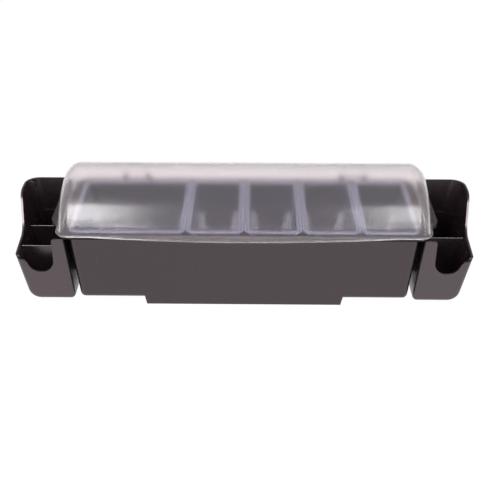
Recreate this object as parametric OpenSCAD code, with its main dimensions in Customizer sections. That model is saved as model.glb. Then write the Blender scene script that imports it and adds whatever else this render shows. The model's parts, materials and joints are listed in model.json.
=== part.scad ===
// Bar-top condiment centre: an ice tub with lift-out trays under one hinged dome lid,
// and two clip-on side caddies with removable dividers.
// Millimetres, +Z up, -Y to the front, origin on the counter under the middle of the tub.

/* [Tub] */
// Length of the tub over its end walls, just under the deck
tub_length = 433; // [400:1:470]
// Depth of the tub from front to back, just under the deck
tub_depth = 170; // [160:1:190]
// Height of the walls, from the underside of the floor to the deck
wall_height = 86.7; // [78:0.1:100]
// Thickness of the tub's walls
wall_t = 2.3; // [1.8:0.1:3]
// Thickness of the tub's floor
floor_t = 3; // [2:0.1:5]
// Inward lean of the end walls, in degrees
end_draft = 5.4; // [3:0.1:6]
// Inward lean of the front and back walls, in degrees
front_draft = 1; // [0.5:0.1:3]
// Radius of the tub's upright corners
tub_corner_r = 8; // [5:0.5:12]
// Radius of the edge round the tub's floor
tub_floor_r = 7; // [4:0.5:9]

/* [Deck] */
// Thickness of the deck round the top of the tub
deck_t = 2.3; // [1.8:0.1:3]
// How far the deck stands out past each end wall
deck_end = 14.5; // [12:0.5:18]
// How far the deck stands out past the front and back walls
deck_lip = 0.5; // [0.3:0.1:2]
// Width of the ledge that carries the trays, inward from the tub's face
ledge_w = 16; // [13:0.5:20]
// Radius of the deck's corners
deck_corner_r = 14; // [8:1:18]
// Width of each finger notch between two trays
notch_w = 29; // [20:1:36]
// How far each finger notch is cut back from the ledge's edge
notch_d = 8; // [5:0.5:9]
// How far the tongue for a caddy stands out past the deck
tongue_out = 10.8; // [8:0.1:14]
// Length of that tongue, front to back
tongue_len = 92; // [60:1:92]

/* [Plinth and feet] */
// Length of the plinth where it meets the tub
plinth_length = 251; // [200:1:300]
// Height of the plinth below the tub's floor
plinth_h = 8.5; // [6:0.5:14]
// Inward lean of the plinth's ends, in degrees
plinth_draft = 12; // [4:1:20]
// Radius of a rubber foot
foot_r = 9; // [6:0.5:11]
// How far a foot stands out below the plinth
foot_proud = 1; // [0.6:0.1:2]
// How deep a foot is let into the plinth
foot_seat = 1.5; // [1:0.1:3]
// Distance from a foot's centre to the plinth's end and to its face
foot_inset = 15; // [13:0.5:22]

/* [Lid] */
// Wall of the dome and of its lip
lid_t = 2.2; // [1.8:0.1:3]
// Gap between the deck and the lid's lip, kept by the bumpers
lip_gap = 0.8; // [0.5:0.1:1.5]
// How far the lip stands out past the deck at the ends
lip_end = 3; // [2:0.1:4]
// How far the lip stands out past the deck at the front and back
lip_side = 1; // [0.5:0.1:2]
// Width of the lip outside the dome at the front and back
lip_w = 3.1; // [2:0.1:5]
// Width of the lip outside the dome at the ends
lip_end_w = 1.5; // [1:0.1:3]
// Rise of the dome above the lip
dome_rise = 50.5; // [40:0.5:60]
// Radius where the dome rounds into its ends
dome_end_r = 18; // [12:1:24]
// How far the thumb lip stands out at the middle of the front
thumb_out = 10.5; // [6:0.5:14]
// Length of the thumb lip
thumb_length = 380; // [200:5:400]

/* [Hinge] */
// Distance of each hinge inward from the tub's end
hinge_from_end = 66.5; // [40:0.5:120]
// Distance of the hinge's axis behind the deck
hinge_back = 6.5; // [6.2:0.1:9]
// Depth of the hinge's axis below the top of the deck
hinge_drop = 1.5; // [0:0.1:2]
// Radius of the knuckles and ears
knuckle_r = 5; // [4.5:0.1:5.4]
// Length of a lid knuckle
knuckle_len = 24; // [16:1:40]
// Thickness of one ear
ear_t = 7; // [4:0.5:10]
// Radius of a hinge pin
pin_r = 2.5; // [1.5:0.1:3]
// Radius of a pin's head
pin_head_r = 3.8; // [3.4:0.1:4.2]

/* [Trays] */
// Depth of the trays below their rims
tray_depth = 70; // [40:1:74]
// Wall of a tray
tray_t = 1.5; // [1.2:0.1:2]
// Width of a tray's rim outside its body
rim_w = 4.8; // [4:0.1:6]
// Height of a tray's rim above the deck
rim_h = 2.3; // [1.8:0.1:2.6]
// Thickness of the rim's top and of its turned-down edge
rim_t = 1.1; // [0.8:0.1:1.3]
// Inward lean of the trays' walls, in degrees
tray_draft = 5.6; // [5.5:0.1:7]
// Radius of the rim's corners
rim_corner_r = 10; // [8:0.5:14]
// Radius of the edge round a tray's floor
tray_floor_r = 7; // [4:0.5:9]
// Gap between the rims of two trays
tray_gap = 0.8; // [0.4:0.1:2]

/* [Caddies] */
// Gap between the tub's end and a caddy's inner wall
caddy_gap = 5.9; // [4:0.1:8]
// Width of a caddy across its floor, before its edges are rounded
caddy_floor_w = 57.5; // [50:0.5:70]
// Depth of a caddy from front to back
caddy_depth = 136; // [125:1:150]
// How far a caddy's front stands ahead of the tub's
caddy_ahead = 1; // [0.5:0.1:2]
// How far a caddy hangs below the tub's floor
caddy_below = 1; // [0:0.5:3]
// Height of a caddy's back wall
caddy_h = 106.5; // [98:0.5:120]
// Outward lean of the outer wall, in degrees
caddy_lean = 11.7; // [6:0.1:14]
// Wall of a caddy
caddy_t = 2.5; // [2:0.1:3]
// Radius between the outer wall and the floor
caddy_keel_r = 16; // [10:1:20]
// Radius of the other floor edges
caddy_floor_r = 6; // [5:0.5:8]
// Radius of the upright corner at the back
caddy_back_r = 18; // [8:1:20]
// Radius of the upright corners at the front
caddy_front_r = 6; // [5:0.5:8]

/* [Caddy rim] */
// Width of the tall tab beside the tub
tab_w = 15.1; // [12:0.5:20]
// Radius of the tab's upper corner
tab_r = 3; // [1:0.5:5]
// Height of the outer wall's low front rim
low_rim_h = 64.5; // [55:0.5:70]
// Upward slope of the low rim towards the back, in degrees
low_rim_slope = 6; // [0:0.5:10]
// Slope of the sweep from the low rim to the tall back, in degrees
sweep_slope = 43; // [30:1:55]
// Radius of the hollow at the foot of the sweep
sweep_hollow_r = 38; // [20:1:45]
// Radius of the crown at the top of the sweep
sweep_crown_r = 30; // [15:1:35]
// Distance from the back wall to the top of the sweep
sweep_from_back = 30.7; // [24:0.1:40]
// Height of the bottom of the front scoop
scoop_h = 40.8; // [30:0.5:50]
// Radius of the scoop
scoop_r = 16.5; // [12:0.5:17]
// Radius of the scoop's outer shoulder
shoulder_r = 9; // [5:0.5:12]

/* [Caddy dividers] */
// Thickness of a divider
divider_t = 1.8; // [1.2:0.1:2.4]
// Height of a divider's top above the caddy's floor
divider_h = 62; // [40:1:68]
// Distance between two slots
slot_pitch = 26; // [20:0.5:27]
// Distance from the front wall's face to the first slot
slot_first = 26; // [20:0.5:30]
// Depth of the ribs that form a slot
slot_rib_d = 1.6; // [1:0.1:2.5]
// Thickness of those ribs
slot_rib_t = 1.4; // [1:0.1:2]

/* [Fits] */
// Gap between a tray's body and the well at the ends, and under its rim at the deck
tray_clear = 0.4; // [0.3:0.05:0.8]
// Gap between a tray's rim and the deck that it rests on
seat_clear = 0.1; // [0.05:0.05:0.2]
// Gap round the tongue in a caddy's pocket
pocket_clear = 0.3; // [0.2:0.05:0.4]
// Gap between a divider and its slot
divider_clear = 0.3; // [0.2:0.05:0.4]
// Gap between a lid knuckle and an ear, along the pin
knuckle_clear = 0.4; // [0.3:0.05:0.8]
// Radial gap of a pin in a lid knuckle
pin_running = 0.06; // [0.03:0.01:0.1]
// Radial gap of a pin in its ears
pin_seated = 0.02; // [0.01:0.01:0.03]
// Gap between a caddy's top and the lid's lip
lid_clear = 1.6; // [1:0.1:2]

/* [Hidden] */
LEFT = -1;
RIGHT = 1;
FRONT = -1;
REAR = 1;
black = "#3a3538";
clear_blue = "#9fa4bd99";
frosted = "#d6ccd299";
rubber_black = "#1c1c1c";
steel = "#b5b5b8";
round_fn = 96;
hull_fn = 32;
tiny = 0.2;
over = 5;

// Levels
plinth_z = foot_proud;
floor_z = plinth_z + plinth_h;
deck_z = floor_z + wall_height;
deck_top = deck_z + deck_t;
lip_z = deck_top + lip_gap;
lip_top = lip_z + lid_t;

// Tub and deck, as half lengths from the middle
tub_hx = tub_length / 2;
tub_hy = tub_depth / 2;
deck_hx = tub_hx + deck_end;
deck_hy = tub_hy + deck_lip;
well_hx = tub_hx - wall_t;
well_hy = tub_hy - ledge_w;
tongue_hx = deck_hx + tongue_out;
tongue_corner = 6;

// Plinth and feet
plinth_hy = tub_hy - (wall_height - tub_floor_r) * tan(front_draft);
foot_x = plinth_length / 2 - plinth_h * tan(plinth_draft) - foot_inset;
foot_y = plinth_hy - foot_inset;

// Lid: the dome is part of a barrel that lies along X
lip_hx = deck_hx + lip_end;
lip_hy = deck_hy + lip_side;
lip_corner_r = deck_corner_r + lip_end;
barrel_hx = lip_hx - lip_end_w;
barrel_hy = lip_hy - lip_w;
barrel_r = (pow(barrel_hy, 2) + pow(dome_rise, 2)) / (2 * dome_rise);
barrel_z = lip_top + dome_rise - barrel_r;
thumb_arc_r = (pow(thumb_length / 2, 2) + pow(thumb_out, 2)) / (2 * thumb_out);

// Hinge
hinge_x = tub_hx - hinge_from_end;
hinge_y = deck_hy + hinge_back;
hinge_z = deck_top - hinge_drop;
ear_span = knuckle_len + 2 * knuckle_clear + 2 * ear_t;
pin_head_t = 1.5;
bumper_r = 2.2;
bumper_gap = 0.1;

// Trays: one of two places and four of one, spread over the well
place_count = 6;
quart_count = 2;
row_hx = well_hx - tray_clear + rim_w;
tray_pitch = (2 * row_hx + tray_gap) / place_count;
tray_hy = well_hy - tray_clear + rim_w;
rim_z = deck_top + seat_clear;
rim_top = deck_top + rim_h;

// Caddies, for the right-hand one
caddy_z = floor_z - caddy_below;
caddy_top = caddy_z + caddy_h;
caddy_front = -(tub_hy + caddy_ahead);
caddy_back = caddy_front + caddy_depth;
caddy_in_x = tub_hx + caddy_gap - (deck_z - caddy_z) * tan(end_draft);
caddy_out_x = caddy_in_x + caddy_floor_w;
caddy_step_z = deck_z - pocket_clear;
pocket_t = 2.3;
pocket_in_x = lip_hx + lid_clear;
pocket_out_x = tongue_hx + pocket_clear + pocket_t;
pocket_hy = tongue_len / 2 + pocket_clear + pocket_t;
tab_x = tub_hx + caddy_gap + tab_w;
standoff_t = 3;
standoff_clear = 0.3;
standoff_y = 30;
slot_count = 5;
slot_h = divider_h - 3;

// x of a wall's face at height z, for the inner and outer walls of the right-hand caddy
function inner_x(z) = caddy_in_x + (z - caddy_z) * tan(end_draft);
function outer_x(z) = caddy_out_x + (z - caddy_z) * tan(caddy_lean);
// Centre of a ball of radius r that touches the floor and the inner or the outer wall
function inner_ball_x(r) = caddy_in_x + r * tan(end_draft) + r / cos(end_draft);
function outer_ball_x(r) = caddy_out_x + r * tan(caddy_lean) - r / cos(caddy_lean);
function slot_y(i) = caddy_front + slot_first + i * slot_pitch;
function tray_gap_x(i) = -row_hx - tray_gap / 2 + i * tray_pitch;
// Points of an arc, from angle a to angle b
function arc(x, y, r, a, b, n = 12) = [for (i = [0:n]) let(t = a + (b - a) * i / n)
    [x + r * cos(t), y + r * sin(t)]];

// A rounded rectangle as half lengths, made of true arcs
module rounded_rect(hx, hy, r) {
    square([2 * (hx - r), 2 * hy], center = true);
    square([2 * hx, 2 * (hy - r)], center = true);
    for (x = [-1, 1], y = [-1, 1])
        translate([x * (hx - r), y * (hy - r)]) circle(r, $fn = round_fn);
}

// A box that leans in towards a rounded floor, as half lengths at its top
module leaning_box(hx, hy, z0, z1, lean_x, lean_y, corner_r, floor_r) {
    bx = hx - (z1 - z0 - floor_r) * tan(lean_x) - floor_r / cos(lean_x);
    by = hy - (z1 - z0 - floor_r) * tan(lean_y) - floor_r / cos(lean_y);
    hull() for (x = [-1, 1], y = [-1, 1]) {
        translate([x * (hx - corner_r), y * (hy - corner_r), z1 - tiny])
            cylinder(r = corner_r, h = tiny, $fn = hull_fn);
        translate([x * bx, y * by, z0 + floor_r]) sphere(r = floor_r, $fn = hull_fn);
    }
}

// The barrel that the dome is cut from, with rounded ends
module barrel(hx, r, end_r) {
    translate([0, 0, barrel_z]) rotate([0, 90, 0]) rotate_extrude($fn = round_fn)
        union() {
            translate([0, -hx + end_r]) square([r, 2 * (hx - end_r)]);
            translate([0, -hx]) square([r - end_r, 2 * hx]);
            for (y = [-1, 1])
                translate([r - end_r, y * (hx - end_r)]) circle(end_r, $fn = round_fn);
        }
}

module along_x(r, length) {
    rotate([0, 90, 0]) cylinder(r = r, h = length, center = true, $fn = round_fn);
}

// ---- Tub ----

// The tongue that carries a caddy, grown by the given amount
module tongue_outline(grow) {
    translate([(tongue_hx + well_hx) / 2, 0])
        rounded_rect((tongue_hx - well_hx) / 2 + grow, tongue_len / 2 + grow, tongue_corner + grow);
}

module deck_outline() {
    rounded_rect(deck_hx, deck_hy, deck_corner_r);
    tongue_outline(0);
    mirror([1, 0]) tongue_outline(0);
}

module well_outline() {
    rounded_rect(well_hx, well_hy, rim_corner_r - rim_w);
    intersection() {
        square([2 * well_hx, 2 * (well_hy + notch_d)], center = true);
        for (i = [quart_count:place_count - 1], side = [FRONT, REAR])
            translate([tray_gap_x(i), side * (well_hy - 1)])
                polygon([[-notch_w / 2 - 1, 0], [notch_w / 2 + 1, 0],
                    [notch_w / 2, side * (notch_d + 1)], [-notch_w / 2, side * (notch_d + 1)]]);
    }
}

// The plinth is a sunk part of the floor: this is its outside, or its inside with inset set
module plinth_block(inset, top) {
    low_hx = plinth_length / 2 - plinth_h * tan(plinth_draft) - inset;
    slope = (top - plinth_z - inset) * tan(plinth_draft);
    rotate([90, 0, 0]) linear_extrude(2 * (plinth_hy - inset), center = true)
        polygon([[-low_hx, plinth_z + inset], [low_hx, plinth_z + inset],
            [low_hx + slope, top], [-low_hx - slope, top]]);
}

module foot_seats() {
    for (x = [LEFT, RIGHT], y = [FRONT, REAR])
        translate([x * foot_x, y * foot_y, plinth_z - over])
            cylinder(r = foot_r, h = foot_seat + over, $fn = round_fn);
}

module hinge_ears(side) {
    for (end = [-1, 1])
        translate([side * hinge_x + end * (knuckle_len + ear_t + 2 * knuckle_clear) / 2, 0, 0]) {
            translate([0, hinge_y, hinge_z]) along_x(knuckle_r, ear_t);
            rotate([90, 0, 90]) linear_extrude(ear_t, center = true)
                polygon([[tub_hy - wall_t / 2, deck_z - 14], [tub_hy - wall_t / 2, deck_top],
                    [deck_hy, deck_top], [hinge_y, deck_top], [hinge_y, hinge_z - knuckle_r]]);
        }
}

module tub() color(black) {
    difference() {
        union() {
            difference() {
                leaning_box(tub_hx, tub_hy, floor_z, deck_z + deck_t / 2,
                    end_draft, front_draft, tub_corner_r, tub_floor_r);
                leaning_box(tub_hx - wall_t, tub_hy - wall_t, floor_z + floor_t, deck_z,
                    end_draft, front_draft, tub_corner_r - wall_t, tub_floor_r - wall_t);
            }
            translate([0, 0, deck_z]) linear_extrude(deck_t) deck_outline();
            plinth_block(0, floor_z + tub_floor_r);
            for (side = [LEFT, RIGHT]) hinge_ears(side);
        }
        translate([0, 0, deck_z - over]) linear_extrude(deck_t + 2 * over) well_outline();
        plinth_block(floor_t, floor_z + tub_floor_r + tiny);
        foot_seats();
        for (side = [LEFT, RIGHT]) translate([side * hinge_x, hinge_y, hinge_z])
            along_x(pin_r + pin_seated, ear_span + over);
    }
}

module rubber_foot(side, end) color(rubber_black)
    translate([side * foot_x, end * foot_y, 0]) {
        cylinder(r1 = foot_r - 1, r2 = foot_r, h = foot_proud, $fn = round_fn);
        translate([0, 0, foot_proud]) cylinder(r = foot_r, h = foot_seat, $fn = round_fn);
    }

module lid_bumper(side) color(rubber_black)
    translate([side * hinge_x, -deck_hy + bumper_r, deck_top])
        cylinder(r1 = bumper_r, r2 = bumper_r - 0.4, h = lip_gap - bumper_gap, $fn = round_fn);

module hinge_pin(side) color(steel)
    translate([side * hinge_x, hinge_y, hinge_z]) {
        along_x(pin_r, ear_span);
        translate([side * (ear_span + pin_head_t) / 2, 0, 0]) along_x(pin_head_r, pin_head_t);
    }

// ---- Lid ----

module lip_outline() {
    rounded_rect(lip_hx, lip_hy, lip_corner_r);
    intersection() {
        translate([0, -lip_hy - thumb_out + thumb_arc_r]) circle(thumb_arc_r, $fn = 4 * round_fn);
        translate([-thumb_length / 2 - over, -lip_hy - thumb_out])
            square([thumb_length + 2 * over, thumb_out + lip_w / 2]);
    }
}

module lid() color(frosted) difference() {
    union() {
        intersection() {
            barrel(barrel_hx, barrel_r, dome_end_r);
            translate([0, 0, lip_z + 2 * barrel_r])
                cube([2 * lip_hx + over, 4 * barrel_r, 4 * barrel_r], center = true);
        }
        translate([0, 0, lip_z]) linear_extrude(lid_t) lip_outline();
        for (side = [LEFT, RIGHT]) translate([side * hinge_x, 0, 0]) {
            translate([0, hinge_y, hinge_z]) along_x(knuckle_r, knuckle_len);
            translate([-knuckle_len / 2, lip_hy - lip_w / 2, lip_z])
                cube([knuckle_len, hinge_y - lip_hy + lip_w / 2, lid_t]);
        }
    }
    barrel(barrel_hx - lid_t, barrel_r - lid_t, dome_end_r - lid_t);
    for (side = [LEFT, RIGHT]) translate([side * hinge_x, hinge_y, hinge_z])
        along_x(pin_r + pin_running, knuckle_len + over);
}

// ---- Trays ----

// A tray that takes the given number of places, from the place numbered first
module tray(first, places) color(clear_blue) {
    hx = (places * tray_pitch - tray_gap) / 2;
    body_hx = hx - rim_w;
    body_hy = tray_hy - rim_w;
    body_r = rim_corner_r - rim_w;
    translate([tray_gap_x(first) + places * tray_pitch / 2, 0, 0]) difference() {
        union() {
            leaning_box(body_hx, body_hy, rim_top - tray_depth, rim_top - tiny,
                tray_draft, tray_draft, body_r, tray_floor_r);
            difference() {
                translate([0, 0, rim_z]) linear_extrude(rim_top - rim_z)
                    rounded_rect(hx, tray_hy, rim_corner_r);
                translate([0, 0, rim_z - over]) linear_extrude(over + rim_top - rim_z - rim_t)
                    rounded_rect(hx - rim_t, tray_hy - rim_t, rim_corner_r - rim_t);
            }
        }
        leaning_box(body_hx - tray_t, body_hy - tray_t, rim_top - tray_depth + tray_t,
            rim_top + tiny, tray_draft, tray_draft, body_r - tray_t, tray_floor_r - tray_t);
    }
}

// ---- Caddies ----

// A disc of radius r that faces along Y, with its rim rounded by edge_r
module rounded_disc(r, edge_r) {
    rotate([90, 0, 0]) rotate_extrude($fn = hull_fn) intersection() {
        translate([r - edge_r, 0]) circle(edge_r, $fn = hull_fn);
        translate([0, -edge_r]) square([r, 2 * edge_r]);
    }
}

// The caddy's block with every face moved in by inset
module caddy_block(inset, top) {
    front_r = caddy_front_r - inset;
    back_r = caddy_back_r - inset;
    floor_r = caddy_floor_r - inset;
    keel_r = caddy_keel_r - inset;
    front = caddy_front + inset;
    back = caddy_back - inset;
    in_top = inner_x(top) + inset / cos(end_draft);
    out_top = outer_x(top) - inset / cos(caddy_lean);
    hull() {
        translate([in_top + front_r, front + front_r, top - tiny])
            cylinder(r = front_r, h = tiny, $fn = hull_fn);
        translate([in_top + front_r, back - front_r, top - tiny])
            cylinder(r = front_r, h = tiny, $fn = hull_fn);
        translate([out_top - front_r, front + front_r, top - tiny])
            cylinder(r = front_r, h = tiny, $fn = hull_fn);
        translate([out_top - back_r, back - back_r, top - tiny])
            cylinder(r = back_r, h = tiny, $fn = hull_fn);
        translate([inner_ball_x(caddy_floor_r), front + floor_r, caddy_z + caddy_floor_r])
            sphere(r = floor_r, $fn = hull_fn);
        translate([inner_ball_x(caddy_floor_r), back - floor_r, caddy_z + caddy_floor_r])
            sphere(r = floor_r, $fn = hull_fn);
        translate([outer_ball_x(caddy_keel_r), front + floor_r, caddy_z + caddy_keel_r])
            rounded_disc(keel_r, floor_r);
        translate([outer_ball_x(caddy_keel_r), back - keel_r, caddy_z + caddy_keel_r])
            sphere(r = keel_r, $fn = hull_fn);
    }
}

// Ribs in pairs that hold the dividers, left standing on the two side walls
module slot_ribs() {
    reach = divider_t / 2 + divider_clear;
    difference() {
        for (i = [0:slot_count - 1], side = [-1, 1])
            translate([caddy_in_x, slot_y(i) + side * (reach + slot_rib_t / 2) - slot_rib_t / 2,
                    caddy_z])
                cube([2 * caddy_floor_w, slot_rib_t, slot_h]);
        caddy_block(caddy_t + slot_rib_d, caddy_top + over);
    }
}

// Outline of what is open above the outer wall's rim, seen from the side as [y, z]
function sweep_outline() =
    let(
        low_z = caddy_z + low_rim_h,
        nose_r = caddy_front_r,
        crown = [caddy_back - sweep_from_back, caddy_top - sweep_crown_r],
        crown_end = crown + sweep_crown_r * [-sin(sweep_slope), cos(sweep_slope)],
        turn = sweep_hollow_r * [sin(sweep_slope) - sin(low_rim_slope),
            cos(low_rim_slope) - cos(sweep_slope)],
        rise = tan(low_rim_slope),
        start = crown_end - turn,
        run = (start.y - low_z - (start.x - caddy_front - nose_r) * rise)
            / (sin(sweep_slope) - cos(sweep_slope) * rise),
        foot = start - run * [cos(sweep_slope), sin(sweep_slope)],
        hollow = foot + sweep_hollow_r * [-sin(low_rim_slope), cos(low_rim_slope)]
    )
    concat(
        [[caddy_front - over, low_z - nose_r]],
        arc(caddy_front + nose_r, low_z - nose_r, nose_r, 180, 90),
        arc(hollow.x, hollow.y, sweep_hollow_r, low_rim_slope - 90, sweep_slope - 90),
        arc(crown.x, crown.y, sweep_crown_r, sweep_slope + 90, 90),
        [[caddy_back + over, caddy_top], [caddy_back + over, caddy_top + 2 * over],
            [caddy_front - over, caddy_top + 2 * over]]
    );

// Outline of the scoop in the front wall, seen from the front as [x, z]
function scoop_outline() =
    let(
        mid = [tab_x + scoop_r, caddy_z + scoop_h + scoop_r],
        edge_z = caddy_z + low_rim_h - caddy_front_r,
        shoulder_z = edge_z - shoulder_r,
        reach = scoop_r + shoulder_r,
        run = sqrt(pow(reach, 2) - pow(mid.y - shoulder_z, 2)),
        bend = asin((mid.y - shoulder_z) / reach),
        far_x = outer_x(caddy_top)
    )
    concat(
        arc(mid.x, mid.y, scoop_r, 180, 360 - bend, 24),
        arc(mid.x + run, shoulder_z, shoulder_r, 180 - bend, 90),
        [[outer_x(edge_z), edge_z + caddy_front_r / 2], [far_x, caddy_top + over],
            [tab_x - tab_r, caddy_top + over]],
        arc(tab_x - tab_r, caddy_step_z - tab_r, tab_r, 90, 0)
    );

// The channel that takes the tub's tongue, open towards the tub
module pocket() {
    low = deck_z - pocket_clear - pocket_t;
    high = deck_top + pocket_clear + pocket_t;
    shelf_x = inner_x(low) + caddy_t / 2;
    difference() {
        translate([0, 0, low]) linear_extrude(high - low) intersection() {
            tongue_outline(pocket_clear + pocket_t);
            translate([shelf_x, -caddy_depth]) square(2 * caddy_depth);
        }
        translate([0, 0, low + pocket_t]) linear_extrude(deck_t + 2 * pocket_clear)
            tongue_outline(pocket_clear);
        translate([0, -caddy_depth, low + pocket_t])
            cube([pocket_in_x, 2 * caddy_depth, high]);
    }
}

// Ribs behind the inner wall that lean on the tub's end
module standoffs() {
    reach = caddy_gap - standoff_clear;
    for (y = [-1, 1])
        translate([inner_x(caddy_z), y * standoff_y, caddy_z]) rotate([0, end_draft, 0])
            translate([-reach * cos(end_draft), -standoff_t / 2, 2 * caddy_floor_r])
                cube([reach * cos(end_draft) + caddy_t / 2, standoff_t,
                    caddy_step_z - caddy_z - 4 * caddy_floor_r]);
}

module caddy_body() {
    difference() {
        caddy_block(0, caddy_top);
        difference() {
            caddy_block(caddy_t, caddy_top + over);
            slot_ribs();
        }
        // Step that clears the deck and the lid, and ends the tab
        translate([inner_x(caddy_z) - over, caddy_front - over, caddy_step_z])
            cube([pocket_in_x - inner_x(caddy_z) + over, caddy_depth + 2 * over, caddy_h]);
        translate([inner_x(caddy_z), caddy_front - over, caddy_step_z])
            cube([pocket_out_x - inner_x(caddy_z), over + 2 * caddy_front_r, caddy_h]);
        // Sweep of the outer wall's rim
        translate([pocket_out_x, 0, 0]) rotate([90, 0, 90])
            linear_extrude(2 * caddy_floor_w) polygon(sweep_outline());
        // Scoop of the front wall
        translate([0, caddy_front + caddy_t + tiny, 0]) rotate([90, 0, 0])
            linear_extrude(caddy_t + over) polygon(scoop_outline());
    }
    pocket();
    standoffs();
}

module divider(slot) {
    gap = caddy_t + divider_clear;
    low = caddy_z + caddy_t + seat_clear;
    top = caddy_z + caddy_t + divider_h;
    keel_r = caddy_keel_r - gap;
    floor_r = caddy_floor_r - gap;
    translate([0, slot_y(slot), 0]) rotate([90, 0, 0]) linear_extrude(divider_t, center = true)
        intersection() {
            translate([caddy_in_x, low]) square([2 * caddy_floor_w, top - low]);
            polygon(concat(
                arc(outer_ball_x(caddy_keel_r), caddy_z + caddy_keel_r, keel_r, -90, -caddy_lean),
                [[outer_x(top) - gap / cos(caddy_lean), top],
                    [inner_x(top) + gap / cos(end_draft), top]],
                arc(inner_ball_x(caddy_floor_r), caddy_z + caddy_floor_r, floor_r,
                    180 - end_draft, 270)
            ));
        }
}

module left_hand() mirror([1, 0, 0]) children();

// ---- Nodes ----

module quart_tray() tray(0, quart_count);
module pint_tray(number) tray(quart_count + number - 1, 1);
module right_caddy() color(black) caddy_body();
module left_caddy() color(black) left_hand() caddy_body();
module left_divider(slot) color(black) left_hand() divider(slot);
module right_divider() color(black) divider(1);

tub();
lid();
hinge_pin(LEFT);  // hinge_pin_left
hinge_pin(RIGHT);  // hinge_pin_right
lid_bumper(LEFT);  // lid_bumper_left
lid_bumper(RIGHT);  // lid_bumper_right
quart_tray();
pint_tray(1);  // pint_tray_1
pint_tray(2);  // pint_tray_2
pint_tray(3);  // pint_tray_3
pint_tray(4);  // pint_tray_4
left_caddy();
left_divider(0);  // left_divider_front
left_divider(2);  // left_divider_rear
right_caddy();
right_divider();
rubber_foot(LEFT, FRONT);  // foot_front_left
rubber_foot(RIGHT, FRONT);  // foot_front_right
rubber_foot(LEFT, REAR);  // foot_rear_left
rubber_foot(RIGHT, REAR);  // foot_rear_right
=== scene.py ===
"""Bar-top condiment centre.

An ice tub with lift-out trays under a frosted dome lid, and two side caddies.
"""

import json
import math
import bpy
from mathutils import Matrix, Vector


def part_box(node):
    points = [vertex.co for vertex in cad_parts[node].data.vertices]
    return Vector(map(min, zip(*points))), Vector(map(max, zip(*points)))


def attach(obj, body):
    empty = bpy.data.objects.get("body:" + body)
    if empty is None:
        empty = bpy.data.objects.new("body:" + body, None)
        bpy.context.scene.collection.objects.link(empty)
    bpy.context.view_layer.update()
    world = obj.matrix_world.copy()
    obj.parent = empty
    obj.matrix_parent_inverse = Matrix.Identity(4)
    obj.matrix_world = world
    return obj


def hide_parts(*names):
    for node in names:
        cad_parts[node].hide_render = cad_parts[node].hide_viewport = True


bl_info = {
    "name": "Condiment Centre",
    "version": (1, 0, 0),
    "blender": (4, 5, 0),
    "location": "View3D > Sidebar > Condiment Centre",
    "description": "Finishes the tub, trays, lid and side caddies of a bar-top condiment centre",
    "category": "Add Mesh",
}

import bmesh
import bpy
from mathutils import Vector

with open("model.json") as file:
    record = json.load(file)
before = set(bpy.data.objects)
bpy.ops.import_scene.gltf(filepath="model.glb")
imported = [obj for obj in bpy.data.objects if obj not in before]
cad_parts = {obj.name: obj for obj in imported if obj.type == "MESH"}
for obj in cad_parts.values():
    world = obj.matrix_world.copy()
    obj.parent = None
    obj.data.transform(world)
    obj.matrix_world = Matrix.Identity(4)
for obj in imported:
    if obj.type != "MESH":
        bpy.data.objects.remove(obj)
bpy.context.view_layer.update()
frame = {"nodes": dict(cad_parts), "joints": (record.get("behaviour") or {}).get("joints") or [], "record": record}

BLACK_PIECES = (
    "tub",
    "left_caddy",
    "right_caddy",
    "left_divider_front",
    "left_divider_rear",
    "right_divider",
)
TRAYS = ("quart_tray", "pint_tray_1", "pint_tray_2", "pint_tray_3", "pint_tray_4")
PINS = ("hinge_pin_left", "hinge_pin_right")
RUBBERS = (
    "foot_front_left",
    "foot_front_right",
    "foot_rear_left",
    "foot_rear_right",
    "lid_bumper_left",
    "lid_bumper_right",
)
HINGE = next(j for j in frame["joints"] if j["name"] == "lid_hinge")
HINGE_X = 0.5 * (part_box("hinge_pin_right")[0].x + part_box("hinge_pin_right")[1].x)

# Edges over the sharp angle are softened, and faces that meet under the flat one are merged
SHARP_ANGLE = math.radians(34)
FLAT_ANGLE = math.radians(0.3)

# Tub, in metres: the deck's top and half sizes, its rounded outside, its upright edge,
# and how near its top counts as on it
DECK_TOP = 0.0985
DECK_HALF_X = 0.231
DECK_HALF_Y = 0.0855
DECK_ROUNDED = 0.002
DECK_EDGE = 0.0025
ON_DECK = 1e-4

# Trays: where the row ends, the width and depth of a rim's turned-down edge,
# and the height, depth and width of the low rear corners, whose pale scatter is a painted highlight
ROW_END = 0.214
RIM_WIDTH = 0.003
RIM_DEPTH = 0.004
PAINTED_HIGHLIGHT_HEIGHT = 0.026
PAINTED_HIGHLIGHT_DEPTH = 0.0194
PAINTED_HIGHLIGHT_WIDTH = 0.0192

# Lid: the dome's top, then the lip's underside, half depth, corners, width at the ends and at
# the sides, half length of its bow, the most of its width that the frosted band takes as a
# share, and how far out its outline is looked for
DOME_TOP = 0.152
LIP_LOW = 0.0993
LIP_HALF_Y = 0.0865
LIP_CORNER = 0.017
LIP_END = 0.0015
LIP_SIDE = 0.0031
LIP_BOW_HALF = 0.19
LIP_BAND_SHARE = 0.45
LIP_REACH = 0.03

# Sizes that the dome's node tree is given
DOME_INPUTS = ("Half length", "Radius", "Axis height", "End radius", "Base height")

# Points along and across the dome, and how near they are to be made one
DOME_ALONG = 221
DOME_ACROSS = 121
DOME_MERGE = 2e-5

# Knuckles: width, bore, sides of the round, rounding of the edges, and how far the arm
# runs under the lip, ends short of the axis and is thinner than the lip
KNUCKLE_WIDTH = 0.024
KNUCKLE_BORE = 0.00256
KNUCKLE_SIDES = 48
KNUCKLE_EDGE = 0.0004
ARM_UNDER_LIP = 0.0012
ARM_SHORT = 0.0005
ARM_THINNER = 0.0002

BUMPER_EDGE = 0.0001

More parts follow.
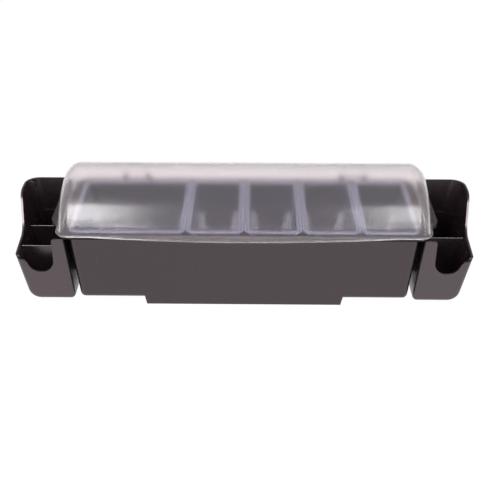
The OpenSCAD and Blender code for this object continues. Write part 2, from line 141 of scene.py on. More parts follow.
# Index of refraction and size of the frost of each clear plastic
LID_IOR = 1.42
LIP_IOR = 1.2
TRAY_IOR = 1.49
# A high index and white scatter make the painted highlight in the trays' low rear corners
PAINTED_HIGHLIGHT_IOR = 1.9
LID_FROST = 0.0012
TRAY_FROST = 0.008
SHADOW_TINT = (0.86, 0.84, 0.86)

# Stage: half size of the floor, and how white and how much the eye and gloss see of it
FLOOR_HALF = 12.0
FLOOR_WHITE = 1.03
FLOOR_SHARE = 0.96
FILL_COLOUR = (1, 0.99, 0.985)
WHITE = (1, 1, 1)

# Each softbox: its place, the point that it faces, its width and height, its share of the power
SOFTBOXES = (
    ("softbox_left", (-0.72, -0.677, 1.333), (-0.72, 0.073, 0.213), (0.7, 0.68), 0.68),
    ("softbox_left_low", (-0.7, -0.831, 1.23), (-0.7, -0.081, 0.11), (0.78, 0.85), 0.95),
    ("softbox_right", (0.72, -0.677, 1.333), (0.72, 0.073, 0.213), (0.66, 0.68), 0.48),
    ("softbox_right_low", (0.7, -0.831, 1.23), (0.7, -0.081, 0.11), (0.76, 0.85), 0.7),
    ("side_box_left", (-1.3, -0.45, 0.8), (0, 0, 0.1), (0.15, 0.9), 0.12),
    ("side_box_right", (1.3, -0.45, 0.8), (0, 0, 0.1), (0.15, 0.9), 0.2),
)
CAMERA_PLACE = (0.00732, -1.04154, 0.64914)
CAMERA_DOWN = 30.0
CAMERA_YAW = 0.718
CAMERA_LENS = 67.512
CAMERA_SENSOR = 36.0


def body_of_node(node):
    """The moving body that a node belongs to."""
    bodies = frame["record"]["behaviour"]["bodies"]
    return next(body for body, nodes in bodies.items() if node in nodes)


# ---- Settings ----


def colour(name, text, value):
    """A colour setting."""
    return bpy.props.FloatVectorProperty(
        name=name, description=text, subtype="COLOR", size=3, min=0, max=1, default=value
    )


def length(name, text, value):
    """A length setting, in metres."""
    return bpy.props.FloatProperty(
        name=name, description=text, subtype="DISTANCE", unit="LENGTH", min=0, default=value
    )


def share(name, text, value, top=1.0):
    """A setting from 0 to a top value."""
    return bpy.props.FloatProperty(
        name=name, description=text, subtype="FACTOR", min=0, max=top, default=value
    )


class BlackPlasticSettings(bpy.types.PropertyGroup):
    colour: colour("Colour", "Colour of the black moulded plastic", (0.01, 0.0065, 0.008))
    sheen: colour("Reflection", "Tint of the faces' reflections", (1.0, 0.84, 0.9))
    gloss: share("Gloss", "Strength of the tub's reflections", 0.9, 2.0)
    # Painted shade: weaker reflections darken the deck as if shaded by the lid and its lip
    painted_shade_deck_gloss: share("Deck gloss", "Strength of the deck's reflections", 0.2, 2.0)
    caddy_gloss: share("Caddy gloss", "Strength of the caddies' reflections", 1.3, 2.0)
    roughness: share("Roughness", "Roughness of the moulded faces", 0.3)
    grain: length("Grain", "Size of the fine grain on the moulded faces", 0.0007)
    edge: length("Edge radius", "Softening of the moulded edges", 0.0008)


class LidSettings(bpy.types.PropertyGroup):
    colour: colour("Colour", "Tint of the frosted plastic", (1.0, 0.945, 0.965))
    roughness: share("Frost", "Roughness of the frosted faces", 0.155)
    haze: share("Haze", "Share of the light that the wall scatters, seen straight on", 0.026)
    rim_haze: share("Rim haze", "Share of the light that the wall scatters, seen along it", 0.034)
    lip_tint: colour("Lip tint", "Tint of the lip's clear part", (0.5, 0.475, 0.495))
    lip_colour: colour("Lip colour", "Tint of the lip's frosted edge", (0.97, 0.76, 0.79))
    lip_haze: share("Lip haze", "Share of the light that the lip's edge scatters", 0.9)
    lip_band: length("Frosted band", "Most that the frosted edge takes of the lip's width", 0.0048)
    wall: length("Wall", "Wall of the dome and of its lip", 0.0022)
    end_radius: length("End radius", "Radius where the dome rounds into its ends", 0.018)
    lip_edge: length("Lip edge", "Rounding of the lip's edge", 0.0008)


class TraySettings(bpy.types.PropertyGroup):
    colour: colour("Colour", "Tint of the clear plastic", (0.8, 0.81, 0.9))
    # Painted glow: the walls scatter this blue a little, and the rims' edges much more, for the light that gathers
    # in the edges
    edge_colour: colour("Edge colour", "Tint that gathers in the rims' edges", (0.42, 0.46, 0.72))
    roughness: share("Roughness", "Roughness of the tray's faces", 0.04)
    haze: share("Haze", "Share of the light that the tray's walls scatter", 0.02)
    painted_glow_haze: share("Edge haze", "Share of the light that the rims' edges scatter", 0.23)
    edge: length("Edge radius", "Softening of the trays' edges", 0.0005)


class SmallPartSettings(bpy.types.PropertyGroup):
    steel: colour("Steel", "Colour of the hinge pins", (0.6, 0.6, 0.61))
    rubber: colour("Rubber", "Colour of the feet and bumpers", (0.02, 0.02, 0.02))
    edge: length("Edge radius", "Softening of the small parts' edges", 0.0003)


class StageSettings(bpy.types.PropertyGroup):
    ground: colour("Floor", "Colour of the floor", (0.86, 0.86, 0.86))
    key_power: bpy.props.FloatProperty(
        name="Softbox power", description="Power of a full softbox, in watts", min=0, default=12
    )
    fill: share("Fill", "Strength of the even light from all round", 0.32, 2.0)


SETTINGS = {
    "condiment_black": BlackPlasticSettings,
    "condiment_lid": LidSettings,
    "condiment_tray": TraySettings,
    "condiment_small": SmallPartSettings,
    "condiment_stage": StageSettings,
}


# ---- Node trees ----


def fill_socket(tree, socket, value):
    """Links an output to a socket, or sets the socket to a number."""
    if isinstance(value, (int, float)):
        socket.default_value = value
    else:
        tree.links.new(value, socket)


class Formula:
    """Builds the maths of a node tree one step at a time."""

    def __init__(self, tree):
        self.tree = tree

    def step(self, operation, *values):
        """One operation on numbers or on the results of other steps."""
        node = self.tree.nodes.new("ShaderNodeMath")
        node.operation = operation
        for socket, value in zip(node.inputs, values):
            fill_socket(self.tree, socket, value)
        return node.outputs[0]

    def add(self, a, b):
        return self.step("ADD", a, b)

    def less(self, a, b):
        return self.step("SUBTRACT", a, b)

    def times(self, a, b):
        return self.step("MULTIPLY", a, b)

    def over(self, a, b):
        return self.step("DIVIDE", a, b)

    def held(self, value, low, high):
        """A value held between two limits."""
        return self.step("MINIMUM", self.step("MAXIMUM", value, low), high)


def plain_shader(tree, kind, colour_value):
    """The output of a shader node that has only a colour."""
    node = tree.nodes.new(kind)
    node.inputs["Color"].default_value = (*colour_value, 1)
    return node.outputs[0]


def mixed(tree, amount, first, second):
    """A shader that goes from the first to the second as the amount goes from 0 to 1."""
    mix = tree.nodes.new("ShaderNodeMixShader")
    for socket, value in zip(mix.inputs, (amount, first, second)):
        fill_socket(tree, socket, value)
    return mix.outputs["Shader"]


def ranged(tree, value, from_low, from_high, low, high):
    """Maps a value from one range to another."""
    ramp = tree.nodes.new("ShaderNodeMapRange")
    for name, number in (
        ("From Min", from_low),
        ("From Max", from_high),
        ("To Min", low),
        ("To Max", high),
    ):
        ramp.inputs[name].default_value = number
    tree.links.new(value, ramp.inputs["Value"])
    return ramp.outputs["Result"]


# ---- Materials ----


def new_material(name):
    """An empty node material, its tree, and its shader and output nodes."""
    material = bpy.data.materials.new(name)
    material.use_nodes = True
    tree = material.node_tree
    tree.nodes.clear()
    shader = tree.nodes.new("ShaderNodeBsdfPrincipled")
    output = tree.nodes.new("ShaderNodeOutputMaterial")
    tree.links.new(shader.outputs["BSDF"], output.inputs["Surface"])
    return material, tree, shader, output


def noise_on(tree, size, detail, stretch=(1, 1, 1)):
    """Noise of the given feature size over a piece, in its own coordinates."""
    place = tree.nodes.new("ShaderNodeTexCoord")
    mapping = tree.nodes.new("ShaderNodeMapping")
    mapping.inputs["Scale"].default_value = stretch
    noise = tree.nodes.new("ShaderNodeTexNoise")
    noise.inputs["Scale"].default_value = 1.0 / size
    noise.inputs["Detail"].default_value = detail
    tree.links.new(place.outputs["Object"], mapping.inputs["Vector"])
    tree.links.new(mapping.outputs["Vector"], noise.inputs["Vector"])
    return noise.outputs["Fac"]


def spread(tree, noise, low, high):
    """Maps a noise's middle values to a range."""
    return ranged(tree, noise, 0.3, 0.7, low, high)


def shade(colour_value, factor):
    """A colour made darker or lighter."""
    return tuple(min(1.0, c * factor) for c in colour_value)


def tint(tree, noise, colour_value, dark, light):
    """A colour that drifts with a noise between a darker and a lighter shade of itself."""
    mix = tree.nodes.new("ShaderNodeMix")
    mix.data_type = "RGBA"
    mix.inputs["A"].default_value = (*shade(colour_value, dark), 1)
    mix.inputs["B"].default_value = (*shade(colour_value, light), 1)
    tree.links.new(noise, mix.inputs["Factor"])
    return mix.outputs["Result"]


def bump_on(tree, shader, noise, height, strength):
    """Lets a noise raise the surface a little."""
    bump = tree.nodes.new("ShaderNodeBump")
    bump.inputs["Distance"].default_value = height
    bump.inputs["Strength"].default_value = strength
    tree.links.new(noise, bump.inputs["Height"])
    tree.links.new(bump.outputs["Normal"], shader.inputs["Normal"])


def black_plastic(settings, name, gloss):
    """Black moulded plastic with a fine grain and a slight drift in colour and gloss."""
    material, tree, shader, _ = new_material(name)
    drift = noise_on(tree, size=0.06, detail=3)
    grain = noise_on(tree, size=settings.grain, detail=2)
    mottle = noise_on(tree, size=0.004, detail=3)
    rough = settings.roughness
    tree.links.new(tint(tree, drift, settings.colour, 0.9, 1.1), shader.inputs["Base Color"])
    tree.links.new(spread(tree, mottle, rough - 0.03, rough + 0.03), shader.inputs["Roughness"])
    shader.inputs["IOR"].default_value = 1.5
    shader.inputs["Specular IOR Level"].default_value = gloss
    shader.inputs["Specular Tint"].default_value = (*settings.sheen, 1)
    bump_on(tree, shader, grain, height=0.00002, strength=0.35)
    return material


def clear_plastic(name, colour_value, roughness, haze, haze_colour, ior, grain):
    """Clear plastic that scatters a little light, and lets the lamps shine through.

    haze gives the share that is scattered where seen straight on and where seen edge on.
    """
    material, tree, shader, output = new_material(name)
    drift = noise_on(tree, size=0.05, detail=2)
    frost = noise_on(tree, size=grain, detail=2)
    shader.inputs["Transmission Weight"].default_value = 1.0
    shader.inputs["IOR"].default_value = ior
    tree.links.new(tint(tree, drift, colour_value, 0.98, 1.02), shader.inputs["Base Color"])
    tree.links.new(
        spread(tree, frost, 0.88 * roughness, 1.12 * roughness), shader.inputs["Roughness"]
    )
    back = plain_shader(tree, "ShaderNodeBsdfTranslucent", haze_colour)
    front = plain_shader(tree, "ShaderNodeBsdfDiffuse", haze_colour)
    facing = tree.nodes.new("ShaderNodeLayerWeight")
    facing.inputs["Blend"].default_value = 0.5
    amount = ranged(tree, facing.outputs["Facing"], 0.0, 1.0, *haze)
    body = mixed(tree, amount, shader.outputs["BSDF"], mixed(tree, 0.5, back, front))
    path = tree.nodes.new("ShaderNodeLightPath")
    clear = plain_shader(tree, "ShaderNodeBsdfTransparent", SHADOW_TINT)
    whole = mixed(tree, path.outputs["Is Shadow Ray"], body, clear)
    tree.links.new(whole, output.inputs["Surface"])
    return material


def pin_steel(settings):
    """Drawn stainless steel with fine lines along the pin."""
    material, tree, shader, _ = new_material("pin_steel")
    lines = noise_on(tree, size=0.0004, detail=2, stretch=(0.05, 1, 1))
    tree.links.new(tint(tree, lines, settings.steel, 0.85, 1.1), shader.inputs["Base Color"])
    shader.inputs["Metallic"].default_value = 1.0
    tree.links.new(spread(tree, lines, 0.22, 0.36), shader.inputs["Roughness"])
    return material


def black_rubber(settings):
    """Matt rubber with a fine speckle."""
    material, tree, shader, _ = new_material("black_rubber")
    speckle = noise_on(tree, size=0.0006, detail=3)
    tree.links.new(tint(tree, speckle, settings.rubber, 0.7, 1.4), shader.inputs["Base Color"])
    tree.links.new(spread(tree, speckle, 0.65, 0.85), shader.inputs["Roughness"])
    bump_on(tree, shader, speckle, height=0.00003, strength=0.5)
    return material


# ---- Shared making ----


def new_object(name, data):
    """An object in the scene with the given mesh, light or camera."""
    obj = bpy.data.objects.new(name, data)
    bpy.context.scene.collection.objects.link(obj)
    return obj


def apply_modifiers(obj):
    """Turns an object with its modifiers into a plain mesh."""
    graph = bpy.context.evaluated_depsgraph_get()
    mesh = bpy.data.meshes.new_from_object(obj.evaluated_get(graph), depsgraph=graph)
    obj.modifiers.clear()
    old, obj.data = obj.data, mesh
    bpy.data.meshes.remove(old)
    mesh.name = obj.name
    return obj


def even_shading(obj):
    """Keeps flat faces flat in shade beside their softened edges, and applies the modifiers."""
    even = obj.modifiers.new("even_shading", "WEIGHTED_NORMAL")
    even.mode = "FACE_AREA"
    even.weight = 80
    even.keep_sharp = True
    return apply_modifiers(obj)


def smooth_by_angle(mesh, degrees):
    """Smooth shading, kept crisp where two faces meet at more than an angle."""
    form = bmesh.new()
    form.from_mesh(mesh)
    limit = math.radians(degrees)
    for face in form.faces:
        face.smooth = True
    for edge in form.edges:
        edge.smooth = len(edge.link_faces) != 2 or edge.calc_face_angle(0) < limit
    form.to_mesh(mesh)
    form.free()


def finished_piece(
    node,
    edge,
    materials,
    segments=2,
    rounder=None,
    second=None,
    soft_slot=-1,
    regions=None,
    cut=None,
):
    """A copy of a solid with its flat faces whole, its edges softened and its curves smooth.

    rounder tells which edges get the full radius, where the rest get half of it,
    second which faces get the second material, soft_slot which one the softened edges get,
    regions changes a face's slot by its place after that, and cut is a level to divide faces at.
    """
    cast = bmesh.new()
    cast.from_mesh(frame["nodes"][node].data)
    bmesh.ops.remove_doubles(cast, verts=cast.verts, dist=2e-6)
    bmesh.ops.dissolve_degenerate(cast, edges=cast.edges, dist=1e-6)
    bmesh.ops.dissolve_limit(cast, angle_limit=FLAT_ANGLE, verts=cast.verts, edges=cast.edges)
    if cut is not None:
        parts = [*cast.verts, *cast.edges, *cast.faces]
        bmesh.ops.bisect_plane(cast, geom=parts, plane_co=(0, 0, cut), plane_no=(0, 0, 1))
    weight = cast.edges.layers.float.new("bevel_weight_edge")
    for line in cast.edges:
        if len(line.link_faces) == 2 and line.calc_face_angle(0) > SHARP_ANGLE:
            line[weight] = 1.0 if rounder is None or rounder(line) else 0.5
    for face in cast.faces:
        face.smooth = True
        face.material_index = 1 if second is not None and second(face) else 0
    mesh = bpy.data.meshes.new(node + "_piece")
    cast.to_mesh(mesh)
    cast.free()
    obj = new_object(node + "_piece", mesh)
    mesh.materials.clear()
    for material in materials:
        mesh.materials.append(material)
    soften = obj.modifiers.new("soft_edges", "BEVEL")
    soften.width = edge
    soften.segments = segments
    soften.limit_method = "WEIGHT"
    soften.use_clamp_overlap = True
    soften.miter_outer = "MITER_ARC"
    soften.harden_normals = False
    soften.material = soft_slot
    even_shading(obj)
    if regions is not None:
        for face in obj.data.polygons:
            face.material_index = regions(face.center, face.material_index)
    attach(obj, body_of_node(node))
    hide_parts(node)


def on_deck_rim(edge):
    """Whether an edge runs along the outside of the deck, where it is rounded most."""
    if any(abs(v.co.z - DECK_TOP) > ON_DECK for v in edge.verts):
        return False
    mid = (edge.verts[0].co + edge.verts[1].co) / 2
    return abs(mid.y) > DECK_HALF_Y - DECK_ROUNDED or abs(mid.x) > DECK_HALF_X - DECK_ROUNDED


def painted_shade_deck_regions(place, slot):
    """The second material on the deck, duller than the tub's walls: painted shade that darkens the deck as the lid
    and its lip shade it.
    """
    return 1 if DECK_TOP - DECK_EDGE < place.z < DECK_TOP + ON_DECK else slot


def tray_regions(node):
    """A rule for slots: clear ends for the row of trays, and a painted highlight in the low rear corners."""
    low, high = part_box(node)

    def region(place, slot):
        if abs(place.x) > ROW_END:
            return 0
        corner = (
            place.z < low.z + PAINTED_HIGHLIGHT_HEIGHT
            and high.y - place.y < PAINTED_HIGHLIGHT_DEPTH
            and min(place.x - low.x, high.x - place.x) < PAINTED_HIGHLIGHT_WIDTH
        )
        return 2 if corner else slot

    return region


def on_painted_rim_glow(node):
    """A test for the turned-down edge that runs round a tray's rim, where the painted glow goes."""
    low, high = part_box(node)

    def test(face):
        centre = face.calc_center_median()
        near = min(centre.x - low.x, high.x - centre.x, centre.y - low.y, high.y - centre.y)
        upright = abs(face.normal.z) < 0.3
        return upright and near < RIM_WIDTH and centre.z > high.z - RIM_DEPTH

    return test


# ---- Lid ----


def dome_tree():
    """Node tree of the dome: part of a barrel that lies along X, cut level at its base."""
    tree = bpy.data.node_groups.new("barrel_dome", "GeometryNodeTree")
    for name in DOME_INPUTS:
        tree.interface.new_socket(name=name, in_out="INPUT", socket_type="NodeSocketFloat")
    tree.interface.new_socket(name="Material", in_out="INPUT", socket_type="NodeSocketMaterial")
    tree.interface.new_socket(name="Dome", in_out="OUTPUT", socket_type="NodeSocketGeometry")
    nodes, links = tree.nodes, tree.links
    given = nodes.new("NodeGroupInput").outputs
    half, radius, axis, turn, base = (given[name] for name in DOME_INPUTS)
    do = Formula(tree)

    # Length of the line along the top, round the end and down the flat end
    straight = do.less(half, turn)
    quarter = do.times(turn, math.pi / 2)
    drop = do.less(base, axis)
    flat_from = do.add(straight, quarter)
    whole = do.add(flat_from, do.less(do.less(radius, turn), drop))

    grid = nodes.new("GeometryNodeMeshGrid")
    grid.inputs["Size X"].default_value = 2
    grid.inputs["Size Y"].default_value = 2
    grid.inputs["Vertices X"].default_value = DOME_ALONG
    grid.inputs["Vertices Y"].default_value = DOME_ACROSS
    place = nodes.new("GeometryNodeInputPosition")
    parts = nodes.new("ShaderNodeSeparateXYZ")
    links.new(place.outputs[0], parts.inputs[0])

    along = do.times(parts.outputs["X"], whole)
    far = do.step("ABSOLUTE", along)
    angle = do.over(do.held(do.less(far, straight), 0, quarter), turn)
    down = do.step("MAXIMUM", do.less(far, flat_from), 0)
    reach = do.add(do.step("MINIMUM", far, straight), do.times(turn, do.step("SINE", angle)))
    x = do.times(do.step("SIGN", along), reach)
    ring = do.add(do.less(radius, turn), do.times(turn, do.step("COSINE", angle)))
    ring = do.less(ring, down)
    start = do.step("ARCSINE", do.step("MINIMUM", do.over(drop, ring), 1.0))
    sweep = do.less(math.pi, do.times(start, 2))
    turned = do.add(start, do.times(sweep, do.over(do.add(parts.outputs["Y"], 1), 2)))
    y = do.times(ring, do.times(do.step("COSINE", turned), -1))
    z = do.add(axis, do.times(ring, do.step("SINE", turned)))

    shape = nodes.new("ShaderNodeCombineXYZ")
    for socket, value in zip(shape.inputs, (x, y, z)):
        links.new(value, socket)
    move = nodes.new("GeometryNodeSetPosition")
    links.new(grid.outputs["Mesh"], move.inputs["Geometry"])
    links.new(shape.outputs[0], move.inputs["Position"])
    merge = nodes.new("GeometryNodeMergeByDistance")
    merge.inputs["Distance"].default_value = DOME_MERGE
    links.new(move.outputs["Geometry"], merge.inputs["Geometry"])
    real = nodes.new("GeometryNodeRealizeInstances")
    links.new(merge.outputs["Geometry"], real.inputs["Geometry"])
    dress = nodes.new("GeometryNodeSetMaterial")
    links.new(real.outputs["Geometry"], dress.inputs["Geometry"])
    links.new(given["Material"], dress.inputs["Material"])
    result = nodes.new("NodeGroupOutput")
    links.new(dress.outputs["Geometry"], result.inputs["Dome"])
    return tree


def run_tree(obj, tree, values):
    """Runs a node tree on an object with the given named inputs, and keeps the result as a mesh."""
    modifier = obj.modifiers.new(tree.name, "NODES")
    modifier.node_group = tree
    for item in tree.interface.items_tree:
        if item.in_out == "INPUT" and item.name in values:
            modifier[item.identifier] = values[item.name]
    return apply_modifiers(obj)


def rounded_outline(half_x, half_y, radius, bow, bow_half):
    """A function for the distance from a point to the lip's outline, along a direction.

    The outline is a rounded rectangle with a bowed front.
    """
    arc = (bow_half**2 + bow**2) / (2 * bow)
    centre = -half_y - bow + arc

    def inside(x, y):
        ax, ay = abs(x), abs(y)
        dx, dy = ax - (half_x - radius), ay - (half_y - radius)
        if ax <= half_x and ay <= half_y:
            if dx <= 0 or dy <= 0 or math.hypot(dx, dy) <= radius:
                return True
        return y < 0 and ax <= bow_half and math.hypot(x, y - centre) <= arc

    def reach(x, y, nx, ny):
        low, high = 0.0, LIP_REACH
        for _ in range(40):
            mid = (low + high) / 2
            if inside(x + nx * mid, y + ny * mid):
                low = mid
            else:
                high = mid
        return low

    return reach


class LidSizes:
    """Sizes of the lid, read from its solid."""

    def __init__(self, settings):
        low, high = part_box("lid")
        self.axis_y, self.axis_z = HINGE["pos_m"][1:]
        self.knuckle_r = high.y - self.axis_y
        self.half_x = high.x
        self.front = -low.y
        self.end_radius = settings.end_radius
        self.lip_top = LIP_LOW + settings.wall
        self.barrel_x = self.half_x - LIP_END
        base_y = LIP_HALF_Y - LIP_SIDE
        rise = DOME_TOP - self.lip_top
        self.radius = (base_y**2 + rise**2) / (2 * rise)
        self.axis = DOME_TOP - self.radius


def add_lip(shell, sizes, band):
    """Carries the dome's base out to the lip's outline, by way of where its frosted band begins."""
    reach = rounded_outline(
        sizes.half_x, LIP_HALF_Y, LIP_CORNER, sizes.front - LIP_HALF_Y, LIP_BOW_HALF
    )
    turn_x = sizes.barrel_x - sizes.end_radius
    inner_r = sizes.radius - sizes.end_radius
    turn_y = math.sqrt(max(inner_r**2 - (sizes.lip_top - sizes.axis) ** 2, 0))
    border = [e for e in shell.edges if e.is_boundary]
    loops = {}
    for edge in border:
        for v in edge.verts:
            if v in loops:
                continue
            x, y = v.co.x, v.co.y
            nx = max(abs(x) - turn_x, 0) * math.copysign(1, x)
            ny = max(abs(y) - turn_y, 0) * math.copysign(1, y)
            if abs(x) >= sizes.barrel_x - 1e-5:
                ny = 0.0
            size = math.hypot(nx, ny) or 1.0
            nx, ny = nx / size, ny / size
            whole = reach(x, y, nx, ny)
            start = whole - min(LIP_BAND_SHARE * whole, band)
            loops[v] = [
                shell.verts.new((x + nx * d, y + ny * d, sizes.lip_top)) for d in (start, whole)
            ]
    for edge in border:
        a, b = edge.verts
        clear = shell.faces.new((a, b, loops[b][0], loops[a][0]))
        clear.material_index = 1
        rim = shell.faces.new((loops[a][0], loops[b][0], loops[b][1], loops[a][1]))
        rim.material_index = 2


def knuckle(sizes, side, material):
    """A hinge knuckle with the arm that joins it to the lip."""
    form = bmesh.new()
    half = KNUCKLE_WIDTH / 2
    turns = [2 * math.pi * i / KNUCKLE_SIDES for i in range(KNUCKLE_SIDES)]
    outer_a, inner_a, outer_b, inner_b = (
        [form.verts.new((x, r * math.cos(turn), r * math.sin(turn))) for turn in turns]
        for x in (-half, half)
        for r in (sizes.knuckle_r, KNUCKLE_BORE)
    )
    for first, second in (
        (outer_a, outer_b),
        (outer_b, inner_b),
        (inner_b, inner_a),
        (inner_a, outer_a),
    ):
        for i in range(KNUCKLE_SIDES):
            j = (i + 1) % KNUCKLE_SIDES
            form.faces.new((first[i], first[j], second[j], second[i]))
    bmesh.ops.translate(form, verts=form.verts, vec=(0, sizes.axis_y, sizes.axis_z))
    start, end = LIP_HALF_Y - ARM_UNDER_LIP, sizes.axis_y - ARM_SHORT
    thick = sizes.lip_top - LIP_LOW - ARM_THINNER
    middle = (0, (start + end) / 2, (LIP_LOW + sizes.lip_top) / 2)
    arm = bmesh.ops.create_cube(form, size=1)["verts"]
    bmesh.ops.scale(form, verts=arm, vec=(KNUCKLE_WIDTH, end - start, thick))
    bmesh.ops.translate(form, verts=arm, vec=middle)
    bmesh.ops.translate(form, verts=form.verts, vec=(side * HINGE_X, 0, 0))
    bmesh.ops.recalc_face_normals(form, faces=form.faces)
    mesh = bpy.data.meshes.new("knuckle")
    form.to_mesh(mesh)
    form.free()
    mesh.materials.append(material)
    obj = new_object("lid_knuckle_" + ("left" if side < 0 else "right"), mesh)
    soften = obj.modifiers.new("soft_edges", "BEVEL")
    soften.width = KNUCKLE_EDGE
    soften.segments = 2
    soften.limit_method = "ANGLE"
    soften.angle_limit = math.radians(40)
    apply_modifiers(obj)
    smooth_by_angle(obj.data, 35)
    return even_shading(obj)


def build_lid(settings):
    """The frosted dome with its lip, thumb lip and hinge knuckles."""
    sizes = LidSizes(settings)
    frosted = clear_plastic(
        "frosted_plastic",
        settings.colour,
        settings.roughness,
        (settings.haze, settings.rim_haze),
        settings.colour,
        LID_IOR,
        LID_FROST,
    )
    hazy = clear_plastic(
        "frosted_lip_edge",
        settings.colour,
        settings.roughness,
        (settings.lip_haze, settings.lip_haze),
        settings.lip_colour,
        LID_IOR,
        LID_FROST,
    )
    clear = clear_plastic(
        "clear_lip", settings.lip_tint, 0.08, (0.0, 0.0), settings.lip_colour, LIP_IOR, LID_FROST
    )
    obj = new_object("dome_lid", bpy.data.meshes.new("dome_lid"))
    run_tree(
        obj,
        dome_tree(),
        {
            "Half length": sizes.barrel_x,
            "Radius": sizes.radius,
            "Axis height": sizes.axis,
            "End radius": settings.end_radius,
            "Base height": sizes.lip_top,
            "Material": frosted,
        },
    )
    shell = bmesh.new()
    shell.from_mesh(obj.data)
    bmesh.ops.remove_doubles(shell, verts=shell.verts, dist=1e-5)
    for face in shell.faces:
        face.material_index = 0
    add_lip(shell, sizes, settings.lip_band)
    bmesh.ops.remove_doubles(shell, verts=shell.verts, dist=1e-5)
    bmesh.ops.dissolve_degenerate(shell, edges=shell.edges, dist=1e-6)
    bmesh.ops.recalc_face_normals(shell, faces=shell.faces)
    if max(shell.faces, key=lambda f: f.calc_center_median().z).normal.z < 0:
        bmesh.ops.reverse_faces(shell, faces=shell.faces)
    shell.to_mesh(obj.data)
    shell.free()
    obj.data.materials.clear()
    for material in (frosted, clear, hazy):
        obj.data.materials.append(material)
    wall = obj.modifiers.new("wall", "SOLIDIFY")
    wall.thickness = settings.wall
    wall.offset = -1
    wall.use_even_offset = True
    wall.use_quality_normals = True
    edge = obj.modifiers.new("lip_edge", "BEVEL")
    edge.width = settings.lip_edge
    edge.segments = 3
    edge.limit_method = "ANGLE"
    edge.angle_limit = math.radians(60)
    apply_modifiers(obj)
    smooth_by_angle(obj.data, 50)
    even_shading(obj)
    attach(obj, "lid")
    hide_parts("lid")
    for side in (-1, 1):
        joint = knuckle(sizes, side, frosted)
        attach(joint, "lid")
        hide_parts("lid")


# ---- Stage ----


def stage_material(settings):
    """A pale floor that keeps the object's shadow and reads white to the eye and to gloss."""
    material, tree, shader, output = new_material("stage_floor")
    shader.inputs["Base Color"].default_value = (*settings.ground, 1)
    shader.inputs["Roughness"].default_value = 0.9
    shader.inputs["Specular IOR Level"].default_value = 0.0
    path = tree.nodes.new("ShaderNodeLightPath")
    do = Formula(tree)
    seen = do.step(
        "MAXIMUM",
        path.outputs["Is Camera Ray"],
        do.step("MAXIMUM", path.outputs["Is Glossy Ray"], path.outputs["Is Transmission Ray"]),
    )
    white = tree.nodes.new("ShaderNodeEmission")
    white.inputs["Color"].default_value = (*WHITE, 1)
    white.inputs["Strength"].default_value = FLOOR_WHITE
    amount = do.times(seen, FLOOR_SHARE)
    whole = mixed(tree, amount, shader.outputs["BSDF"], white.outputs["Emission"])
    tree.links.new(whole, output.inputs["Surface"])
    return material


def build_floor(settings):
    """A wide square floor."""
    form = bmesh.new()
    corners = ((-1, -1), (1, -1), (1, 1), (-1, 1))
    form.faces.new([form.verts.new((FLOOR_HALF * x, FLOOR_HALF * y, 0)) for x, y in corners])
    mesh = bpy.data.meshes.new("stage_floor")
    form.to_mesh(mesh)
    form.free()
    mesh.materials.append(stage_material(settings))
    floor = new_object("stage_floor", mesh)


def build_world(settings):
    """Even light from all round, with a white background for the eye and behind clear walls."""
    world = bpy.data.worlds.new("even_light")
    bpy.context.scene.world = world
    world.use_nodes = True
    tree = world.node_tree
    tree.nodes.clear()
    fill = tree.nodes.new("ShaderNodeBackground")
    fill.inputs["Color"].default_value = (*FILL_COLOUR, 1)
    fill.inputs["Strength"].default_value = settings.fill
    white = tree.nodes.new("ShaderNodeBackground")
    white.inputs["Color"].default_value = (*WHITE, 1)
    white.inputs["Strength"].default_value = 1.0
    path = tree.nodes.new("ShaderNodeLightPath")
    seen = Formula(tree).step(
        "MAXIMUM", path.outputs["Is Camera Ray"], path.outputs["Is Transmission Ray"]
    )
    output = tree.nodes.new("ShaderNodeOutputWorld")
    whole = mixed(tree, seen, fill.outputs[0], white.outputs[0])
    tree.links.new(whole, output.inputs["Surface"])


def softbox(name, place, target, size, power):
    """A rectangular lamp at a place, turned to a point."""
    light = bpy.data.lights.new(name, "AREA")
    light.shape = "RECTANGLE"
    light.size, light.size_y = size
    light.energy = power
    obj = new_object(name, light)
    obj.location = place
    aim = Vector(target) - Vector(place)
    obj.rotation_euler = aim.to_track_quat("-Z", "Y").to_euler()


def build_camera():
    """The camera, looking down at the front."""
    camera = bpy.data.cameras.new("camera")
    camera.lens = CAMERA_LENS
    camera.sensor_width = CAMERA_SENSOR
    camera.sensor_fit = "HORIZONTAL"
    obj = new_object("camera", camera)
    obj.location = CAMERA_PLACE
    obj.rotation_euler = (math.radians(90 - CAMERA_DOWN), 0, math.radians(CAMERA_YAW))
    bpy.context.scene.camera = obj


# ---- Operators ----


class CONDIMENT_OT_black_pieces(bpy.types.Operator):
    """Finish the tub, the side caddies and their dividers in black moulded plastic"""

    bl_idname = "condiment.black_pieces"
    bl_label = "Tub and Caddies"

    def execute(self, context):
        settings = context.scene.condiment_black
        tub_plastic = black_plastic(settings, "black_tub_plastic", settings.gloss)
        caddy_plastic = black_plastic(settings, "black_caddy_plastic", settings.caddy_gloss)
        # The deck gets a duller copy of the plastic, painted shade for under the lid and its lip
        painted_shade_deck_plastic = black_plastic(settings, "black_deck_painted_shade", settings.painted_shade_deck_gloss)
        finished_piece(
            "tub",
            2 * settings.edge,
            [tub_plastic, painted_shade_deck_plastic],
            rounder=on_deck_rim,
            regions=painted_shade_deck_regions,
            segments=3,
        )
        for node in BLACK_PIECES[1:]:
            finished_piece(node, settings.edge, [caddy_plastic], segments=3)
        return {"FINISHED"}


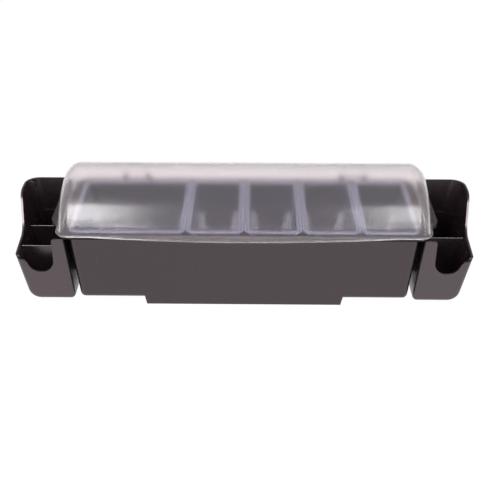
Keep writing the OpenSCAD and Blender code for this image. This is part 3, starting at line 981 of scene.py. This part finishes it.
class CONDIMENT_OT_trays(bpy.types.Operator):
    """Finish the lift-out trays in clear plastic"""

    bl_idname = "condiment.trays"
    bl_label = "Trays"

    def execute(self, context):
        settings = context.scene.condiment_tray
        wall = clear_plastic(
            "clear_tray_plastic",
            settings.colour,
            settings.roughness,
            (settings.haze, 4 * settings.haze),
            settings.edge_colour,
            TRAY_IOR,
            TRAY_FROST,
        )
        # The rims' edges scatter a blue haze: a painted glow for the light that gathers in them
        rim = clear_plastic(
            "tray_rim_painted_glow",
            settings.colour,
            settings.roughness,
            (settings.painted_glow_haze, settings.painted_glow_haze),
            settings.edge_colour,
            TRAY_IOR,
            TRAY_FROST,
        )
        # Painted highlight: the low rear corners scatter white to stand in for the softboxes' reflections
        corner = clear_plastic(
            "tray_painted_highlight", settings.colour, 0.2, (0.14, 0.14), WHITE, PAINTED_HIGHLIGHT_IOR, TRAY_FROST
        )
        for node in TRAYS:
            finished_piece(
                node,
                settings.edge,
                [wall, rim, corner],
                second=on_painted_rim_glow(node),
                soft_slot=1,
                regions=tray_regions(node),
                cut=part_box(node)[0].z + PAINTED_HIGHLIGHT_HEIGHT,
            )
        return {"FINISHED"}


class CONDIMENT_OT_lid(bpy.types.Operator):
    """Make the frosted dome lid with its lip and hinge knuckles"""

    bl_idname = "condiment.lid"
    bl_label = "Dome Lid"

    def execute(self, context):
        build_lid(context.scene.condiment_lid)
        return {"FINISHED"}


class CONDIMENT_OT_small_parts(bpy.types.Operator):
    """Finish the hinge pins, the rubber feet and the lid's bumpers"""

    bl_idname = "condiment.small_parts"
    bl_label = "Pins, Feet and Bumpers"

    def execute(self, context):
        settings = context.scene.condiment_small
        steel, rubber = pin_steel(settings), black_rubber(settings)
        for node in PINS:
            finished_piece(node, settings.edge, [steel])
        for node in RUBBERS:
            edge = BUMPER_EDGE if "bumper" in node else settings.edge
            finished_piece(node, edge, [rubber])
        return {"FINISHED"}


class CONDIMENT_OT_stage(bpy.types.Operator):
    """Set up the floor, the lights and the camera"""

    bl_idname = "condiment.stage"
    bl_label = "Stage"

    def execute(self, context):
        settings = context.scene.condiment_stage
        context.scene.view_settings.view_transform = "Standard"
        build_floor(settings)
        build_world(settings)
        for name, place, target, size, part in SOFTBOXES:
            softbox(name, place, target, size, part * settings.key_power)
        build_camera()
        return {"FINISHED"}


class CONDIMENT_PT_panel(bpy.types.Panel):
    """Sizes, finishes and making of the condiment centre"""

    bl_idname = "CONDIMENT_PT_panel"
    bl_label = "Condiment Centre"
    bl_space_type = "VIEW_3D"
    bl_region_type = "UI"
    bl_category = "Condiment Centre"

    def draw(self, context):
        layout = self.layout
        for name, group in SETTINGS.items():
            box = layout.box()
            for field in group.__annotations__:
                box.prop(getattr(context.scene, name), field)
        for operator in OPERATORS:
            layout.operator(operator.bl_idname)


OPERATORS = (
    CONDIMENT_OT_stage,
    CONDIMENT_OT_black_pieces,
    CONDIMENT_OT_trays,
    CONDIMENT_OT_lid,
    CONDIMENT_OT_small_parts,
)
CLASSES = (*SETTINGS.values(), *OPERATORS, CONDIMENT_PT_panel)


def register():
    """Registers the classes and gives the scene its settings."""
    for cls in CLASSES:
        bpy.utils.register_class(cls)
    for name, group in SETTINGS.items():
        setattr(bpy.types.Scene, name, bpy.props.PointerProperty(type=group))


def unregister():
    """Takes the settings and the classes away again."""
    for name in SETTINGS:
        delattr(bpy.types.Scene, name)
    for cls in reversed(CLASSES):
        bpy.utils.unregister_class(cls)


def main():
    """Makes the whole scene."""
    register()
    bpy.ops.condiment.stage()
    bpy.ops.condiment.black_pieces()
    bpy.ops.condiment.trays()
    bpy.ops.condiment.lid()
    bpy.ops.condiment.small_parts()


if __name__ == "__main__":
    main()
